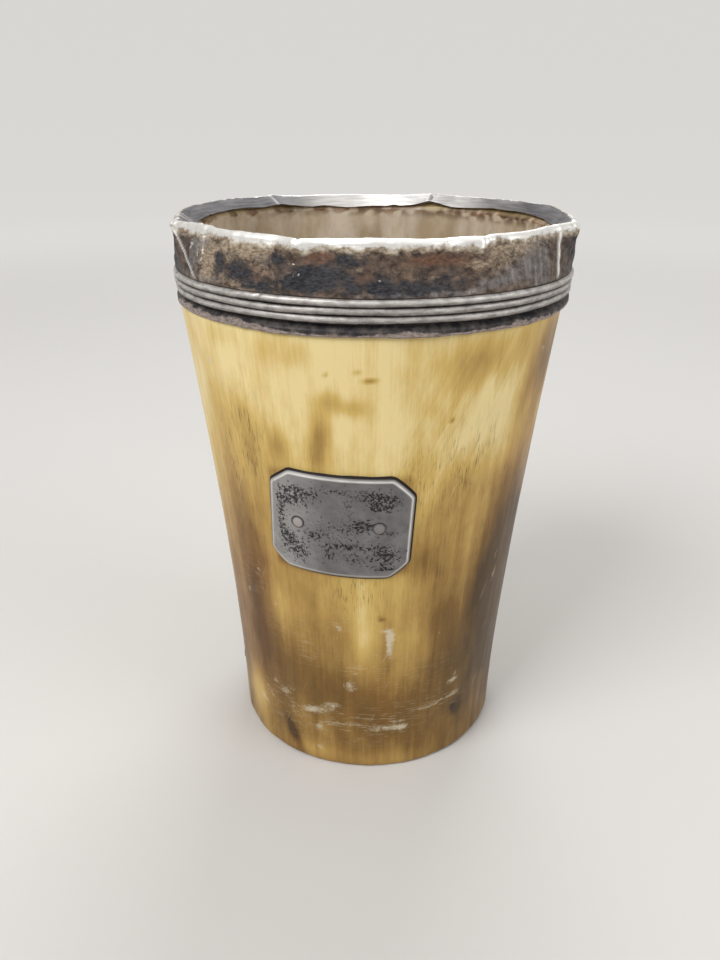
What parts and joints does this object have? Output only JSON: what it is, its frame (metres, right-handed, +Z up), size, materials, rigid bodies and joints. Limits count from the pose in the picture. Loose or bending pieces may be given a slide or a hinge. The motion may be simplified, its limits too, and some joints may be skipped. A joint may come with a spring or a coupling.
{
  "type": "horn drinking cup",
  "caption": "Tapered horn beaker with a let-in base disc, a folded silver rim collar with a reeded band, and a riveted plain plate on its side.",
  "frame": {"origin": "centre of the foot, on the surface that the cup stands on", "axes": "+Z up along the cup's axis; the side with the plate faces -Y, and the viewer's right is +X"},
  "size_m": [0.079, 0.079, 0.115],
  "materials": {
    "horn": "scraped and polished horn",
    "disc_horn": "scraped horn, darker",
    "peg_horn": "dark trimmed peg",
    "pitch": "hard pitch",
    "silver_sheet": "worn tarnished silver",
    "silver_moulding": "worn silver",
    "plate_silver": "brushed and pitted silver",
    "rivet_silver": "filed flush"
  },
  "bodies": {
    "root": {"horn_body": "horn", "base_disc": "disc_horn", "base_pegs": "peg_horn", "pitch_bed": "pitch", "rim_band": "silver_sheet", "reed_moulding": "silver_moulding", "front_plate": "plate_silver", "plate_rivets": "rivet_silver"}
  },
  "joints": []
}
